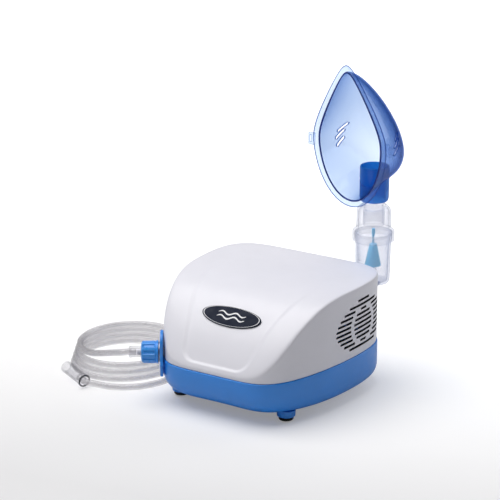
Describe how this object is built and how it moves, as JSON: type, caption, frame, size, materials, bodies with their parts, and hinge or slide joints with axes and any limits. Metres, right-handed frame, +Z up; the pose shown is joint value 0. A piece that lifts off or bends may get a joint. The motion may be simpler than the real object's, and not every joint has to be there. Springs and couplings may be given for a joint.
{
  "type": "tabletop nebulizer",
  "caption": "Tabletop compressor nebulizer: domed two-tone housing with side vents, coiled air tube from a nut on its corner, clear medicine cup and a tinted face mask.",
  "frame": {"origin": "on the table, at the middle of the whole object's footprint: housing, coiled tube and mask together", "axes": "+Z up, -Y is the housing's low front with the badge, +Y its rear with the switch and inlet, +X its vented side; the coiled tube lies on the -X side"},
  "size_m": [0.2983, 0.2479, 0.3117],
  "materials": {
    "cover_white": "satin moulded ABS",
    "body_blue": "satin moulded ABS",
    "badge_navy": "glossy plate with a plain emblem",
    "black_plastic": "fine texture",
    "rubber_black": "matt",
    "clear_plastic": "clear polystyrene",
    "clear_pvc": "soft clear vinyl",
    "mask_pvc": "soft tinted vinyl",
    "port_blue": "glossy",
    "cone_blue": "satin",
    "steel": "turned and plated",
    "lamination_steel": "stacked laminations, varnished",
    "copper_wire": "enamelled copper windings",
    "aluminium": "die cast",
    "brass": "plated contact",
    "nylon": "moulded",
    "ptfe": "filled PTFE",
    "silicone": "milky silicone",
    "felt": "felt",
    "wire_blue": "insulated wire",
    "wire_brown": "insulated wire"
  },
  "bodies": {
    "housing": {"top_cover": "cover_white", "base_tray": "body_blue", "badge": "badge_navy", "foot_front_left": "rubber_black", "foot_front_right": "rubber_black", "foot_rear_left": "rubber_black", "foot_rear_right": "rubber_black", "case_screw_front_left": "steel", "case_screw_front_right": "steel", "case_screw_rear_left": "steel", "case_screw_rear_right": "steel", "rubber_mount_front_left": "rubber_black", "rubber_mount_front_right": "rubber_black", "rubber_mount_rear_left": "rubber_black", "rubber_mount_rear_right": "rubber_black", "compressor_frame": "steel", "cylinder_sleeve": "aluminium", "valve_plate": "steel", "cylinder_head": "aluminium", "head_screw_front": "steel", "head_screw_rear": "steel", "motor_stator": "lamination_steel", "motor_coil": "copper_wire", "front_bracket": "aluminium", "rear_bracket": "aluminium", "front_bearing": "steel", "rear_bearing": "steel", "delivery_hose": "silicone", "intake_hose": "silicone", "switch_lead": "wire_brown", "inlet_lead": "wire_blue", "outlet_nozzle": "cover_white", "switch_housing": "black_plastic", "power_inlet": "black_plastic", "inlet_pin_left": "brass", "inlet_pin_right": "brass", "kit_holder": "cover_white"},
    "outlet_washer": {"nut_washer": "steel"},
    "outlet_nut": {"outlet_nut": "body_blue"},
    "tubing": {"air_tube": "clear_pvc", "tube_cuff_outlet": "clear_pvc", "tube_cuff_free": "clear_pvc"},
    "rocker": {"power_rocker": "black_plastic"},
    "filter": {"filter_cap": "cover_white", "filter_felt": "felt"},
    "rotor": {"rotor": "lamination_steel", "rotor_shaft": "steel", "cooling_fan": "nylon", "crank_eccentric": "steel"},
    "rod": {"connecting_rod": "aluminium", "crank_bearing": "steel", "piston_seal": "ptfe"},
    "cup": {"nebulizer_cup": "clear_plastic"},
    "baffle": {"nebulizer_baffle": "cone_blue"},
    "seal": {"top_seal": "silicone"},
    "chamber": {"nebulizer_top": "clear_plastic"},
    "port": {"mask_port": "port_blue"},
    "mask": {"mask_shell": "mask_pvc"}
  },
  "joints": [
    {"name": "nut_travel", "type": "slide", "parent": "housing", "child": "outlet_washer", "axis": [-0.8415, -0.5402, 0], "range_m": [0, 0.0023]},
    {"name": "nut_turn", "type": "hinge", "parent": "outlet_washer", "child": "outlet_nut", "pos_m": [-0.01728, -0.10048, 0.0475], "axis": [-0.8415, -0.5402, 0], "range_deg": [0, 540]},
    {"name": "tube_plug", "type": "slide", "parent": "housing", "child": "tubing", "axis": [-0.8415, -0.5402, 0], "range_m": [0, 0.025]},
    {"name": "rocker_tilt", "type": "hinge", "parent": "housing", "child": "rocker", "pos_m": [0.028, 0.0636, 0.025], "axis": [0, 0, 1], "range_deg": [-12, 0]},
    {"name": "filter_pull", "type": "slide", "parent": "housing", "child": "filter", "axis": [0, 1, 0], "range_m": [0, 0.012]},
    {"name": "rotor_spin", "type": "hinge", "parent": "housing", "child": "rotor", "pos_m": [0.078, -0.025, 0.048], "axis": [0, 1, 0], "continuous": true},
    {"name": "rod_follow", "type": "hinge", "parent": "rotor", "child": "rod", "pos_m": [0.076, -0.073, 0.048], "axis": [0, 1, 0], "continuous": true},
    {"name": "kit_lift", "type": "slide", "parent": "housing", "child": "cup", "axis": [0, 0, 1], "range_m": [0, 0.05]},
    {"name": "baffle_lift", "type": "slide", "parent": "cup", "child": "baffle", "axis": [0, 0, 1], "range_m": [0, 0.008]},
    {"name": "top_lift", "type": "slide", "parent": "cup", "child": "seal", "axis": [0, 0, 1], "range_m": [0, 0.03]},
    {"name": "top_turn", "type": "hinge", "parent": "seal", "child": "chamber", "pos_m": [0.1048, 0.087, 0.15], "axis": [0, 0, 1], "range_deg": [0, 60]},
    {"name": "port_pull", "type": "slide", "parent": "chamber", "child": "port", "axis": [0, 0, 1], "range_m": [0, 0.025]},
    {"name": "mask_swivel", "type": "hinge", "parent": "port", "child": "mask", "pos_m": [0.1048, 0.087, 0.2], "axis": [0, 0, 1], "continuous": true}
  ],
  "couplings": [
    {"joint": "nut_travel", "follows": "nut_turn", "m_per_rad": 0.00023873},
    {"joint": "rod_follow", "follows": "rotor_spin", "ratio": -1}
  ]
}
